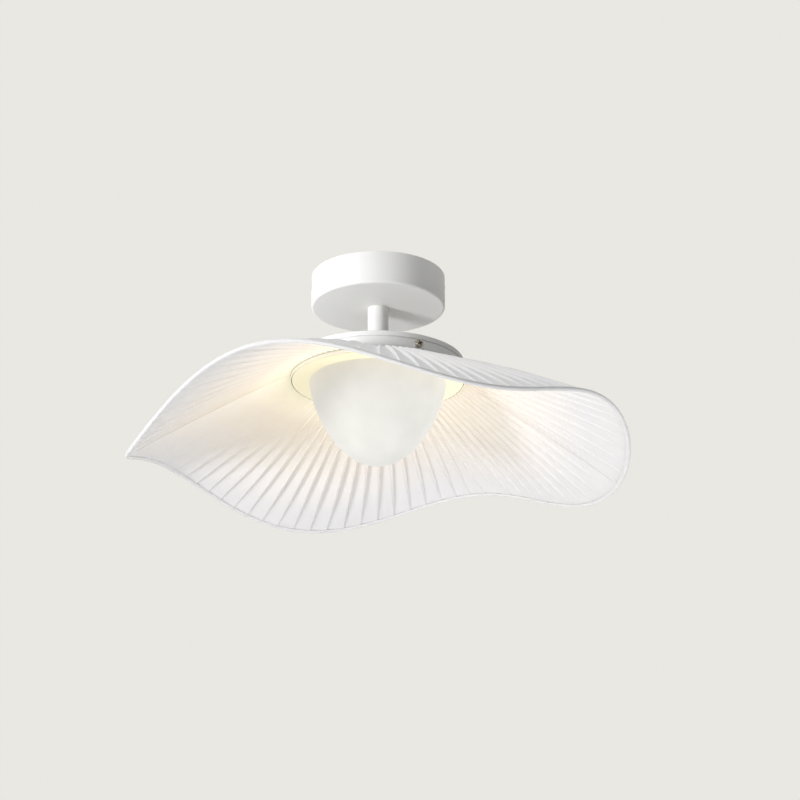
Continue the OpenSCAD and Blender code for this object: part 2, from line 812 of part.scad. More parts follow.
// Half of the pleated cloth, from the seam at pleat number first round to the other seam
module pleated_half(first) {
    pitch = 360 / pleats;
    folds = [for (k = [first : first + pleats / 2 - 1], half = [0, 1])
        [(k + half * fold_share) * pitch, 2 * half - 1]];
    end = [(first + pleats / 2) * pitch, -1];
    color("seashell") sheet_solid([for (f = concat(folds, [end]))
        concat([for (t = fabric_rows) fabric_point(f[0], t, -1, f[1])],
               [for (t = fabric_rows) fabric_point(f[0], 1 - t, 1, f[1])])]);
}

module shade_front() {
    pleated_half(left_seam);
}

module shade_back() {
    pleated_half(left_seam - pleats / 2);
}

module rim_wire() {
    color("silver") loop_solid([for (i = [0 : rim_steps - 1]) let (a = 360 * i / rim_steps)
        [for (k = [0 : wire_sides - 1]) rim_point(a, wire_d / 2 * cos(360 * k / wire_sides),
                                                  wire_d / 2 * sin(360 * k / wire_sides))]]);
}

// The tape is folded over the rim: a channel that is open towards the hub, narrow on the inside
module rim_tape() {
    half = tape_out;
    slot = half - tape_t;
    outline = [[-tape_under, -half], [half * 0.6, -half], [half, -half * 0.5], [half, half * 0.5],
        [half * 0.6, half], [-tape_in, half], [-tape_in, slot], [slot * 0.97, slot],
        [slot * 0.97, -slot], [-tape_under, -slot]];
    color("white") loop_solid([for (i = [0 : rim_steps - 1]) let (a = 360 * i / rim_steps)
        [for (q = outline) rim_point(a, q[0], q[1])]]);
}

ceiling_bracket();
terminal_block();
terminal_screws();
earth_screw();
earth_lead();
earth_tag();
ceiling_cup();
cup_screw_left();
cup_screw_right();
upper_nipple();
upper_washer();
upper_locknut();
nipple_bushes();
stem();
supply_cable();
lower_nipple();
lower_washer();
lower_locknut();
drum_cap();
drum_wall();
bottom_pan();
pan_bushes();
side_screw_1();
side_screw_2();
side_screw_3();
side_washer_1();
side_washer_2();
side_washer_3();
heat_plate();
standoffs();
plate_screws();
light_board();
light_chips();
board_plug();
board_screws();
driver();
driver_screws();
board_lead();
opal_dome();
shade_ring();
shade_front();
shade_back();
rim_wire();
rim_tape();
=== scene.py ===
import math
import random

import bmesh
import bpy
from mathutils import Matrix, Vector, noise


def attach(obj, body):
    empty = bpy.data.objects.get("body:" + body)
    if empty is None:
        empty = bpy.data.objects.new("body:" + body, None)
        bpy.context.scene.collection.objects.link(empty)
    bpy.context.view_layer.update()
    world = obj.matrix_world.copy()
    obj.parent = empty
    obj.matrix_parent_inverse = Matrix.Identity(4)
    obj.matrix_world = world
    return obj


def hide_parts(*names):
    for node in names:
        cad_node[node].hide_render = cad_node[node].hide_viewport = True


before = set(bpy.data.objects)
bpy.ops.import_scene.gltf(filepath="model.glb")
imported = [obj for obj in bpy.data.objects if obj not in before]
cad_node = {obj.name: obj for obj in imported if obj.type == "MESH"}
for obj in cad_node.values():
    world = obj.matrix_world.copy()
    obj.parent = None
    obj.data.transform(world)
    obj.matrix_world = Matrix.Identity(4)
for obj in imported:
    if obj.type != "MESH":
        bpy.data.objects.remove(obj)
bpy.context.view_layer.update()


# Studio. A pale room that is brighter above and at the left, two soft lamps at one place at the
# left front, a little below the light, a wide weak one low at the right, and a pale floor a
# room's height below. The camera stands 1.7 m away and looks up by about 20 degrees.
MM = 0.001
room_tone = (0.815, 0.807, 0.761, 1)

stage = bpy.context.scene
stage.view_settings.view_transform = "Standard"


def feed(slot, value):
    """Sets a node's input: to a plain value, or by a link from another node's output."""
    if isinstance(value, bpy.types.NodeSocket):
        slot.id_data.links.new(value, slot)
    else:
        slot.default_value = value


def figure(operation, *values):
    """A Math node whose inputs are sockets or plain numbers."""
    tree = next(value.id_data for value in values if isinstance(value, bpy.types.NodeSocket))
    step = tree.nodes.new("ShaderNodeMath")
    step.operation = operation
    for slot, value in zip(step.inputs, values):
        feed(slot, value)
    return step.outputs[0]


def times(first, second):
    return figure("MULTIPLY", first, second)


def spread(value, low, high, new_low, new_high):
    """Maps a value from one span to another and stops at its ends."""
    step = value.id_data.nodes.new("ShaderNodeMapRange")
    ends = {"Value": value, "From Min": low, "From Max": high, "To Min": new_low, "To Max": new_high}
    for name, end in ends.items():
        feed(step.inputs[name], end)
    return step.outputs["Result"]


def split(vector):
    """The outputs X, Y and Z of a vector."""
    step = vector.id_data.nodes.new("ShaderNodeSeparateXYZ")
    feed(step.inputs[0], vector)
    return step.outputs


def pale_rays(tree):
    """1 for the rays that should see the pale room instead of its light."""
    path = tree.nodes.new("ShaderNodeLightPath")
    seen = figure("MAXIMUM", path.outputs["Is Camera Ray"], path.outputs["Is Glossy Ray"])
    return figure("MAXIMUM", seen, path.outputs["Is Transmission Ray"])


room = bpy.data.worlds.new("pale_room")
stage.world = room
room.use_nodes = True
room_nodes = room.node_tree.nodes
room_nodes.clear()
room_out = room_nodes.new("ShaderNodeOutputWorld")
room_mix = room_nodes.new("ShaderNodeMixShader")
soft_light = room_nodes.new("ShaderNodeBackground")
seen_room = room_nodes.new("ShaderNodeBackground")
sky = split(room_nodes.new("ShaderNodeTexCoord").outputs["Generated"])
from_above = spread(sky["Z"], 0.05, 0.9, 0.2, 1.4)
from_left = spread(sky["X"], -0.2, 0.7, 1.0, 0.15)
feed(soft_light.inputs["Strength"], times(from_above, from_left))
feed(soft_light.inputs["Color"], (1.0, 0.995, 0.985, 1))
feed(seen_room.inputs["Color"], room_tone)
room_parts = (pale_rays(room.node_tree), soft_light.outputs[0], seen_room.outputs[0])
for slot, part in zip(room_mix.inputs, room_parts):
    feed(slot, part)
feed(room_out.inputs["Surface"], room_mix.outputs[0])

floor_reach, floor_level = 9, -2.4
floor_glow = 0.49
floor_mesh = bpy.data.meshes.new("room_floor")
floor_mesh.from_pydata(
    [(x * floor_reach, y * floor_reach, floor_level) for x, y in ((-1, -1), (1, -1), (1, 1), (-1, 1))],
    [], [(0, 1, 2, 3)])
room_floor = bpy.data.objects.new("room_floor", floor_mesh)
stage.collection.objects.link(room_floor)
floor_paint = bpy.data.materials.new("floor_paint")
floor_paint.use_nodes = True
floor_inputs = floor_paint.node_tree.nodes["Principled BSDF"].inputs
feed(floor_inputs["Base Color"], (0.5, 0.495, 0.47, 1))
feed(floor_inputs["Roughness"], 0.9)
feed(floor_inputs["Emission Color"], room_tone)
feed(floor_inputs["Emission Strength"], times(pale_rays(floor_paint.node_tree), floor_glow))
floor_mesh.materials.append(floor_paint)

lamp_centre = Vector((0, 0, -102 * MM))
daylight = (1.0, 0.998, 0.995)


def soft_lamp(name, azimuth, rise, reach, width, power, tone):
    """A round area lamp that looks at the light from a direction in degrees."""
    light = bpy.data.lights.new(name, "AREA")
    light.shape = "DISK"
    light.size = width
    light.energy = power
    light.color = tone
    holder = bpy.data.objects.new(name, light)
    az, up = math.radians(azimuth), math.radians(rise)
    away = Vector((math.cos(up) * math.cos(az), math.cos(up) * math.sin(az), math.sin(up)))
    holder.location = lamp_centre + away * reach
    holder.rotation_euler = away.to_track_quat("Z", "Y").to_euler()
    holder.visible_camera = False
    stage.collection.objects.link(holder)
    return holder


soft_lamp("left_front_lamp", 215, -13, 2.5, 0.6, 32, daylight)
softer_lamp = soft_lamp("left_front_lamp_softer", 215, -13, 2.5, 0.8, 27, daylight)
soft_lamp("low_right_lamp", -16, -47, 2.0, 1.2, 25, (0.98, 0.99, 1.0))

lens_mm, sensor_mm = 85.5, 36
camera_place = Vector((0, -1.6027, -0.698))
camera_right = Vector((1, 0, 0))
aim_right, aim_down = 20 * MM, 15.8 * MM
camera_data = bpy.data.cameras.new("camera")
camera_data.lens = lens_mm
camera_data.sensor_width = sensor_mm
camera_data.clip_start = 0.05
camera = bpy.data.objects.new("camera", camera_data)
camera_up = camera_right.cross((lamp_centre - camera_place).normalized())
aim = lamp_centre + camera_right * aim_right - camera_up * aim_down
camera.location = camera_place
camera.rotation_euler = (aim - camera_place).to_track_quat("-Z", "Y").to_euler()
stage.collection.objects.link(camera)
stage.camera = camera


# Ceiling bracket: a steel strap folded from 1.6 mm sheet with an ear at each end, bright zinc
# plated. It is screwed to the ceiling through its two holes and carries everything else.
NUMBER, TONE = "NodeSocketFloat", "NodeSocketColor"


def new_effect(name, settings, extra_outputs=()):
    """A shader node group that gives a tone, a roughness, a height and any extra outputs.
    Returns the group and what comes in through its inputs."""
    group = bpy.data.node_groups.new(name, "ShaderNodeTree")
    for label, value in settings.items():
        kind = TONE if isinstance(value, tuple) else NUMBER
        socket = group.interface.new_socket(label, in_out="INPUT", socket_type=kind)
        socket.default_value = value
    for label, kind in (("Tone", TONE), ("Roughness", NUMBER), ("Height", NUMBER), *extra_outputs):
        group.interface.new_socket(label, in_out="OUTPUT", socket_type=kind)
    group.nodes.new("NodeGroupOutput")
    return group, group.nodes.new("NodeGroupInput").outputs


def give(effect, **results):
    """Joins results to an effect's outputs of the same names."""
    for label, value in results.items():
        feed(effect.nodes["Group Output"].inputs[label], value)


def plus(first, second):
    return figure("ADD", first, second)


def blend_tones(share, first, second):
    """Mixes two colours, each a socket or a plain colour. A Mix node keeps them in slots 6 and 7."""
    step = share.id_data.nodes.new("ShaderNodeMix")
    step.data_type = "RGBA"
    for slot, value in ((0, share), (6, first), (7, second)):
        feed(step.inputs[slot], value)
    return step.outputs[2]


def grain(tree, size, detail=2.0, stretch=(1, 1, 1), place="Object"):
    """Noise of a grain size in metres, over the piece's own coordinates."""
    pull = tree.nodes.new("ShaderNodeMapping")
    feed(pull.inputs["Vector"], tree.nodes.new("ShaderNodeTexCoord").outputs[place])
    feed(pull.inputs["Scale"], stretch)
    pattern = tree.nodes.new("ShaderNodeTexNoise")
    feed(pattern.inputs["Vector"], pull.outputs[0])
    feed(pattern.inputs["Scale"], 1 / size)
    feed(pattern.inputs["Detail"], detail)
    return pattern.outputs["Fac"]


# Plated and bare metal: cloudy tone, fine rolling or turning lines and a few dull patches.
metal, metal_in = new_effect("metal_surface", {
    "Tone": (0.7, 0.7, 0.7, 1), "Dull Tone": (0.5, 0.5, 0.5, 1), "Shine": 0.3})
cloud = grain(metal, 7 * MM, 3.0)
lines = grain(metal, 0.5 * MM, 1.0, (0.08, 1, 1))
patch = spread(plus(cloud, times(lines, 0.35)), 0.55, 0.95, 0, 1)
give(metal, Tone=blend_tones(patch, metal_in["Tone"], metal_in["Dull Tone"]),
     Roughness=plus(metal_in["Shine"], times(patch, 0.22)), Height=lines)


def finished(name, effect, settings, bump_depth, **shader):
    """A material: one effect feeds its colour, roughness and bump, the rest sits on the shader."""
    material = bpy.data.materials.new(name)
    material.use_nodes = True
    nodes = material.node_tree.nodes
    surface = nodes["Principled BSDF"]
    layer = nodes.new("ShaderNodeGroup")
    layer.node_tree = effect
    bump = nodes.new("ShaderNodeBump")
    bump_values = {"Distance": bump_depth, "Strength": 0.6, "Height": layer.outputs["Height"]}
    for node, values in ((surface, shader), (layer, settings), (bump, bump_values)):
        for label, value in values.items():
            feed(node.inputs[label.replace("_", " ")], value)
    feed(surface.inputs["Base Color"], layer.outputs["Tone"])
    feed(surface.inputs["Roughness"], layer.outputs["Roughness"])
    feed(surface.inputs["Normal"], bump.outputs[0])
    return material


def dress(material, *names):
    """Gives CAD nodes a material."""
    for name in names:
        slots = cad_node[name].data.materials
        slots.clear()
        slots.append(material)


zinc_plate = finished("zinc_plate", metal, {
    "Tone": (0.62, 0.63, 0.62, 1), "Dull Tone": (0.44, 0.45, 0.45, 1), "Shine": 0.26},
    0.02 * MM, Metallic=1.0)
dress(zinc_plate, "ceiling_bracket", "upper_washer", "lower_washer", "pan_bushes", "plate_screws",
      "board_screws", "driver_screws")


# Terminal block: moulded white nylon with three poles, clamped to the strap. Its screws, the
# earth screw and the ring tag under the stem's upper nut are plain turned brass.
moulded, moulded_in = new_effect("moulded_surface", {
    "Tone": (0.9, 0.9, 0.88, 1), "Deep Tone": (0.8, 0.8, 0.76, 1), "Shine": 0.45})
flow = grain(moulded, 12 * MM, 2.0, (1, 1, 2.5))
pits = grain(moulded, 0.35 * MM)
deep_share = spread(flow, 0.35, 0.75, 0, 0.6)
give(moulded, Tone=blend_tones(deep_share, moulded_in["Tone"], moulded_in["Deep Tone"]),
     Roughness=plus(moulded_in["Shine"], times(pits, 0.15)), Height=pits)
white_nylon = finished("white_nylon", moulded, {
    "Tone": (0.83, 0.82, 0.78, 1), "Deep Tone": (0.76, 0.74, 0.68, 1), "Shine": 0.42},
    0.02 * MM, Subsurface_Weight=0.08, Subsurface_Radius=(0.002, 0.002, 0.0016))
turned_brass = finished("turned_brass", metal, {
    "Tone": (0.72, 0.52, 0.24, 1), "Dull Tone": (0.5, 0.35, 0.17, 1), "Shine": 0.28},
    0.015 * MM, Metallic=1.0)
dress(white_nylon, "terminal_block", "nipple_bushes", "board_plug")
dress(turned_brass, "terminal_screws", "earth_screw", "earth_tag", "upper_nipple", "upper_locknut",
      "lower_nipple", "lower_locknut", "standoffs")


# Wiring: a round white PVC cable from the terminal block down the stem to the driver, a green
# and yellow earth lead, and a short lead from the driver to the light board.
def catmull(a, b, c, d, t):
    """A point between b and c of the smooth curve through four points."""
    return 0.5 * (2 * b + (c - a) * t + (2 * a - 5 * b + 4 * c - d) * t * t
                  + (3 * b - a - 3 * c + d) * t * t * t)


def smooth_route(points, steps):
    """A smooth line through a route's points, given in millimetres."""
    p = [Vector(q) * MM for q in points]
    line = [catmull(p[max(i - 1, 0)], p[i], p[i + 1], p[min(i + 2, len(p) - 1)], s / steps)
            for i in range(len(p) - 1) for s in range(steps)]
    return line + [p[-1]]


def solid_mesh(name, points, faces):
    """A mesh with doubled points merged and all faces turned outward."""
    mesh = bpy.data.meshes.new(name)
    mesh.from_pydata(points, [], faces)
    shape = bmesh.new()
    shape.from_mesh(mesh)
    bmesh.ops.remove_doubles(shape, verts=shape.verts, dist=1e-7)
    bmesh.ops.recalc_face_normals(shape, faces=shape.faces)
    shape.to_mesh(mesh)
    shape.free()
    return mesh


def as_piece(mesh, materials, body, crease):
    """Puts a mesh on its body, smooth but for edges over the crease angle."""
    mesh.shade_smooth()
    mesh.set_sharp_from_angle(angle=math.radians(crease))
    for material in materials:
        mesh.materials.append(material)
    piece = bpy.data.objects.new(mesh.name, mesh)
    stage.collection.objects.link(piece)
    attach(piece, body)
    return piece


def new_piece(name, points, faces, materials, body, crease=30):
    return as_piece(solid_mesh(name, points, faces), materials, body, crease)


def tube_faces(rings, sides, base=0):
    """The faces of a closed tube whose rings of points follow each other from base on."""
    faces = []
    last = base + (rings - 1) * sides
    for ring in range(base, last, sides):
        for k in range(sides):
            a, b = ring + k, ring + (k + 1) % sides
            faces.append((a, b, b + sides, a + sides))
    return faces + [tuple(range(base, base + sides)), tuple(range(last, last + sides))]


def drawn_tube(name, line, radius, sides, material, body):
    """A round tube along a line, closed at both ends."""
    points = []
    side = Vector((0.3, 0.2, 1)).normalized()
    for i, place in enumerate(line):
        along = (line[min(i + 1, len(line) - 1)] - line[max(i - 1, 0)]).normalized()
        side = (side - along * side.dot(along)).normalized()
        other = along.cross(side)
        for k in range(sides):
            turn = math.tau * k / sides
            points.append(place + (side * math.cos(turn) + other * math.sin(turn)) * radius)
    return new_piece(name, points, tube_faces(len(line), sides), [material], body, 50)


cable_sheath = finished("cable_sheath", moulded, {
    "Tone": (0.8, 0.79, 0.76, 1), "Deep Tone": (0.72, 0.71, 0.67, 1), "Shine": 0.36}, 0.03 * MM)
stripe, stripe_in = new_effect("stripe_surface", {
    "Tone": (0.05, 0.3, 0.08, 1), "Stripe Tone": (0.8, 0.66, 0.06, 1)})
on_lead = split(stripe.nodes.new("ShaderNodeTexCoord").outputs["Object"])
stripe_wave = figure("SINE", times(plus(on_lead["Y"], times(on_lead["Z"], 0.4)), 2600))
stripe_share = spread(stripe_wave, 0.1, 0.3, 0, 1)
stripe_grain = grain(stripe, 0.6 * MM)
give(stripe, Tone=blend_tones(stripe_share, stripe_in["Tone"], stripe_in["Stripe Tone"]),
     Roughness=spread(stripe_grain, 0, 1, 0.32, 0.5), Height=stripe_grain)
earth_sheath = finished("earth_sheath", stripe, {}, 0.02 * MM)

cup_floor_top = -28.9
drum_top = -82.5
heat_top = -96.1
nipple_top, nipple_low = -22.5, -88.7
supply_radius, earth_radius = 2, 1
down_stem = [(0, 0, nipple_top + (nipple_low - nipple_top) * k / 5) for k in range(6)]
supply_route = [(-20, -8.5, -8), (-20, -14, -8), (-15, -19, -8.5), (-7, -17, -9.5), (-2, -10, -10.5),
                (0, -3, -13), (0, 0, -18)] + down_stem + [
    (0, 1.5, nipple_low - 3.4), (0, 5.5, heat_top + 2.6), (0, 10, heat_top + 2.5), (0, 16, heat_top + 2.5)]
supply_cable = drawn_tube("supply_lead", smooth_route(supply_route, 8), supply_radius * MM, 20,
                          cable_sheath, "fitting")
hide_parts("supply_cable")
earth_route = [(15, 0, -26), (19, 1, cup_floor_top + 5), (24, 2, -18), (25, 2, -12), (24, 0, -5.3)]
earth_lead = drawn_tube("earth_wire", smooth_route(earth_route, 10), earth_radius * MM, 16,
                        earth_sheath, "fitting")
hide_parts("earth_lead")
dress(cable_sheath, "board_lead")


# Ceiling cup: spun from 1.2 mm sheet with a rolled lower edge, powder coated fine matt white. It
# slides up over the bracket and is held by two headless screws through its wall.
def softened(corners, steps=5):
    """Rounds the corners of a closed outline of (radius, level, rounding), in millimetres."""
    line = []
    for i, (radius, level, rounding) in enumerate(corners):
        corner = Vector((radius, level))
        back = Vector(corners[i - 1][:2]) - corner
        ahead = Vector(corners[(i + 1) % len(corners)][:2]) - corner
        if rounding <= 0:
            line.append(corner)
            continue
        back.normalize()
        ahead.normalize()
        half = back.angle(ahead) / 2
        centre = corner + (back + ahead).normalized() * (rounding / math.sin(half))
        start = corner + back * (rounding / math.tan(half)) - centre
        sweep = start.angle_signed(corner + ahead * (rounding / math.tan(half)) - centre)
        for k in range(steps + 1):
            turn = Matrix.Rotation(-sweep * k / steps, 2)
            line.append(centre + turn @ start)
    return line


def ring_faces(stations, count):
    """The faces between closed outlines that stand round in a ring."""
    faces = []
    for station in range(stations):
        here, there = station * count, (station + 1) % stations * count
        for i in range(count):
            k = (i + 1) % count
            faces.append((here + i, here + k, there + k, there + i))
    return faces


def turned(name, outline, materials, body, sides=192, crease=30):
    """Spins a closed outline, in millimetres, about the light's middle line."""
    points = []
    for j in range(sides):
        turn = math.radians(360 * j / sides)
        points += [Vector((r * math.cos(turn), r * math.sin(turn), z)) * MM for r, z in outline]
    return new_piece(name, points, ring_faces(sides, len(outline)), materials, body, crease)


def cut_away(piece, cutters, crease=30, cut_slot=0):
    """Cuts the shapes of other meshes out of a piece; the cut takes one of its materials."""
    for points, faces in cutters:
        mesh = solid_mesh("cutter", points, faces)
        mesh.polygons.foreach_set("material_index", [cut_slot] * len(mesh.polygons))
        tool = bpy.data.objects.new("cutter", mesh)
        stage.collection.objects.link(tool)
        cut = piece.modifiers.new("cut", "BOOLEAN")
        cut.operation = "DIFFERENCE"
        cut.solver = "EXACT"
        cut.object = tool
        as_cut = piece.evaluated_get(bpy.context.evaluated_depsgraph_get())
        old, piece.data = piece.data, bpy.data.meshes.new_from_object(as_cut)
        piece.modifiers.clear()
        bpy.data.meshes.remove(old)
        bpy.data.objects.remove(tool)
        bpy.data.meshes.remove(mesh)
    piece.data.name = piece.name
    piece.data.shade_smooth()
    piece.data.set_sharp_from_angle(angle=math.radians(crease))


def prism_faces(count):
    """The faces of a block whose lower outline of points comes first and then its upper one."""
    faces = [tuple(range(count)), tuple(range(count, 2 * count))]
    return faces + [(k, (k + 1) % count, count + (k + 1) % count, count + k) for k in range(count)]


def bar(place, along, reach, shape):
    """A straight bar with an outline of 2-D points, from place on, reach metres long."""
    along = Vector(along).normalized()
    side = along.cross(Vector((0, 0, 1))).normalized()
    up = side.cross(along)
    points = [Vector(place) + along * end + side * x + up * y for end in (0, reach) for x, y in shape]
    return points, prism_faces(len(shape))


def round_outline(radius, sides=40):
    return [(radius * math.cos(math.tau * k / sides), radius * math.sin(math.tau * k / sides))
            for k in range(sides)]


# Powder coat: a fine orange-peel grain, tiny lighter and darker specks, and a trace of dust
# where the surface looks up.
powder, powder_in = new_effect("powder_coat", {
    "Tone": (0.8, 0.8, 0.8, 1), "Dust Tone": (0.62, 0.6, 0.56, 1), "Dust": 0.2})
peel = grain(powder, 0.9 * MM)
speck = grain(powder, 0.25 * MM, 3.0)
haze = grain(powder, 35 * MM, 3.0)
facing = split(powder.nodes.new("ShaderNodeNewGeometry").outputs["Normal"])
dust_above = times(spread(facing["Z"], 0.5, 1.0, 0, 1), powder_in["Dust"])
dust_share = times(dust_above, spread(haze, 0.35, 0.75, 0.3, 1.0))
dusty = blend_tones(dust_share, powder_in["Tone"], powder_in["Dust Tone"])
give(powder, Tone=blend_tones(spread(speck, 0.3, 0.75, 0.0, 0.05), dusty, (0.55, 0.55, 0.54, 1)),
     Roughness=plus(spread(haze, 0.3, 0.7, 0.46, 0.54), times(speck, 0.08)),
     Height=plus(peel, times(speck, 0.35)))
white_coat = finished("white_coat", powder, {
    "Tone": (0.83, 0.83, 0.825, 1), "Dust Tone": (0.66, 0.64, 0.6, 1), "Dust": 0.3}, 0.03 * MM)

cup_radius, cup_low, cup_wall = 61, -30.5, 1.2
cup_screw_level = -9
stem_seat = 5.05
screw_hole = round_outline(2.25 * MM)
hole_start, hole_depth = 3, 8
cup_outline = softened([
    (cup_radius, 0, 0.35), (cup_radius, cup_low, 2.2), (stem_seat, cup_low, 0.2),
    (stem_seat, cup_floor_top, 0.2), (cup_radius - cup_wall, cup_floor_top, 1.0),
    (cup_radius - cup_wall, 0, 0.35)], 8)
ceiling_cup = turned("cup_shell", cup_outline, [white_coat], "fitting", 256)


def cup_side(side, proud):
    """A point at the cup screws' level, proud of the cup's wall at its left or right."""
    return Vector((side * (cup_radius + proud) * MM, 0, cup_screw_level * MM))


cut_away(ceiling_cup, [bar(cup_side(side, hole_start), (-side, 0, 0), hole_depth * MM, screw_hole)
                       for side in (-1, 1)])
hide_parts("ceiling_cup")


# Cup screws: headless M4 screws with a hexagon socket, nickel plated, one at each side of the
# cup. They bite into the bracket's ears.
nickel_plate = finished("nickel_plate", metal, {
    "Tone": (0.33, 0.3, 0.26, 1), "Dull Tone": (0.2, 0.18, 0.155, 1), "Shine": 0.24},
    0.01 * MM, Metallic=1.0)
thread_pitch, thread_crest, thread_tip = 0.7 * MM, 1.95 * MM, 1.3 * MM
set_screw_proud = 0.2
set_screw_length, set_screw_root, socket_depth = 9.2 * MM, 1.62 * MM, 2 * MM
socket_hexagon = round_outline(1.15 * MM, 6)


def threaded_rod(name, place, along, length, root, body):
    """An M4 rod with a true helical thread; along points from its outer end into the work."""
    sides, per_turn = 36, 8
    rows = int(length / thread_pitch * per_turn)
    along = Vector(along).normalized()
    side = along.cross(Vector((0, 0, 1))).normalized()
    up = side.cross(along)
    points = []
    for i in range(rows + 1):
        depth = length * i / rows
        fade = min(1, i / per_turn, (rows - i) / per_turn)
        for k in range(sides):
            turn = math.tau * k / sides
            phase = (depth / thread_pitch - k / sides) % 1
            radius = root + (thread_crest - root) * (1 - abs(2 * phase - 1)) * fade
            if rows - i < per_turn:
                radius = min(radius, thread_tip + (thread_crest - thread_tip) * (rows - i) / per_turn)
            round_it = side * math.cos(turn) + up * math.sin(turn)
            points.append(Vector(place) + along * depth + round_it * radius)
    return new_piece(name, points, tube_faces(rows + 1, sides), [nickel_plate], body, 40)


for side, word in ((-1, "left"), (1, "right")):
    inward = (-side, 0, 0)
    screw = threaded_rod(f"set_screw_{word}", cup_side(side, set_screw_proud), inward, set_screw_length,
                         set_screw_root, f"cup_screw_{word}")
    cut_away(screw, [bar(cup_side(side, set_screw_proud + 1), inward, socket_depth + 1 * MM,
                         socket_hexagon)], 40)
    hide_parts(f"cup_screw_{word}")


# Stem: turned steel tube, 19 mm thick, powder coated like the cup, with a small chamfer and a
# counterbore for the M10 nipple at each end.
stem_radius, stem_bore, seat_depth = 9.5, 4, 12
stem_outline = softened([
    (stem_radius, cup_low, 0.5), (stem_radius, drum_top, 0.5), (stem_seat, drum_top, 0.15),
    (stem_seat, drum_top + seat_depth, 0), (stem_bore, drum_top + seat_depth, 0),
    (stem_bore, cup_low - seat_depth, 0), (stem_seat, cup_low - seat_depth, 0), (stem_seat, cup_low, 0.15)])
stem = turned("stem_tube", stem_outline, [white_coat], "fitting", 96)
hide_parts("stem")


# Lamp drum: a shallow spun cap whose skirt goes over a rolled wall, both powder coated. The
# wall sits a little further in, and the joint below the skirt shows as a fine dark line.
drum_radius, wall_radius = 77.7, 77.3
cap_sheet = 1.2
spigot_radius, wall_inner = 76.4, 75.2
cap_under, skirt_low = -83.7, -87.1
wall_shoulder = skirt_low - 0.8
wall_top = cap_under - 0.1
wall_low = -99.8
side_screw_level = -92.1
side_screw_azimuths = (-63, 57, 177)
side_hole_start, side_hole_depth = 70, 12
cap_outline = softened([
    (drum_radius, drum_top, 1.2), (drum_radius, skirt_low, 0.3), (drum_radius - cap_sheet, skirt_low, 0.15),
    (drum_radius - cap_sheet, cap_under, 0.4), (stem_seat, cap_under, 0), (stem_seat, drum_top, 0.2)], 6)
drum_cap = turned("drum_lid", cap_outline, [white_coat], "fitting", 256)
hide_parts("drum_cap")
wall_outline = softened([
    (wall_radius, wall_shoulder, 0.3), (wall_radius, wall_low, 0.2), (wall_inner, wall_low, 0.2),
    (wall_inner, wall_top, 0.2), (spigot_radius, wall_top, 0.2), (spigot_radius, wall_shoulder, 0.1)], 4)
drum_wall = turned("drum_band", wall_outline, [white_coat], "fitting", 256)


def outward(azimuth):
    return Vector((math.cos(math.radians(azimuth)), math.sin(math.radians(azimuth)), 0))


side_level = Vector((0, 0, side_screw_level * MM))
side_holes = [bar(outward(az) * side_hole_start * MM + side_level, outward(az), side_hole_depth * MM,
                  screw_hole) for az in side_screw_azimuths]
cut_away(drum_wall, side_holes)
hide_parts("drum_wall")


# Bottom pan: a ring plate with an upright skirt that closes the drum from below, painted satin
# white. Three notches at its opening let the dome's lugs through.
# The pan's coat is yellowed and glows warm on its own: painted light of the lamp behind the dome.
pan_coat_painted_glow = finished("pan_coat_painted_glow", powder, {
    "Tone": (0.46, 0.44, 0.31, 1), "Dust Tone": (0.38, 0.36, 0.28, 1), "Dust": 0.25},
    0.02 * MM, Emission_Color=(1.0, 0.91, 0.66, 1), Emission_Strength=0.59)
pan_low, pan_top = -102, -100.8
skirt_radius, skirt_sheet, skirt_height = 75.1, 1.2, 15
opening_radius = 58.5
lug_azimuth, lug_turn, lug_half, lug_reach = 10, 25, 7, 60.6
notch_half, notch_start, notch_reach = lug_half + 1.5, 50, lug_reach + 0.5
pan_outline = softened([
    (wall_radius, pan_low, 0.3), (opening_radius, pan_low, 0.3), (opening_radius, pan_top, 0.3),
    (skirt_radius - skirt_sheet, pan_top, 0.4), (skirt_radius - skirt_sheet, pan_low + skirt_height, 0.2),
    (skirt_radius, pan_low + skirt_height, 0.2), (skirt_radius, pan_top, 0.2),
    (wall_radius, pan_top, 0.3)], 3)
bottom_pan = turned("pan_plate", pan_outline, [pan_coat_painted_glow], "fitting", 256)


def wedge_block(azimuth, half, inner, outer, low, high, steps=6):
    """A block bounded by two radii, two levels and an angle each side of a direction."""
    turns = [azimuth - half + 2 * half * k / steps for k in range(steps + 1)]
    rim = [outward(turn) * outer * MM for turn in turns]
    rim += [outward(turn) * inner * MM for turn in reversed(turns)]
    points = [p + Vector((0, 0, level * MM)) for level in (low, high) for p in rim]
    return points, prism_faces(len(rim))


notches = [wedge_block(lug_azimuth - lug_turn + 120 * k, notch_half, notch_start, notch_reach,
                       pan_low - 1, pan_top + 0.8) for k in range(3)]
cut_away(bottom_pan, notches + side_holes)
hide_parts("bottom_pan")


# Side screws: three M4 pan-head screws with a cross recess, nickel plated, each on a plain washer.
# The recess is painted near black as its shade. They clamp the wall to the pan and draw the
# shade's ring in.
# Near black for the cross recess: painted shade.
painted_recess_shade = finished("painted_recess_shade", metal, {
    "Tone": (0.035, 0.033, 0.03, 1), "Dull Tone": (0.02, 0.02, 0.02, 1), "Shine": 0.45},
    0.01 * MM, Metallic=0.3)
bright_washer = finished("bright_washer", metal, {
    "Tone": (0.72, 0.7, 0.66, 1), "Dull Tone": (0.52, 0.5, 0.46, 1), "Shine": 0.26},
    0.01 * MM, Metallic=1.0)
washer_radius, washer_bore, washer_base, washer_top = 4.4, 2.0, 77.4, 78.2
head_radius, head_crown, head_base, head_top = 3.85, 2.8, 78.3, 80.7
head_edge = head_base + 1.1
shank_length, shank_root = 9.5 * MM, 1.6 * MM
washer_outline = softened([
    (washer_radius, washer_base, 0.12), (washer_radius, washer_top, 0.25), (washer_bore, washer_top, 0.12),
    (washer_bore, washer_base, 0.12)], 3)
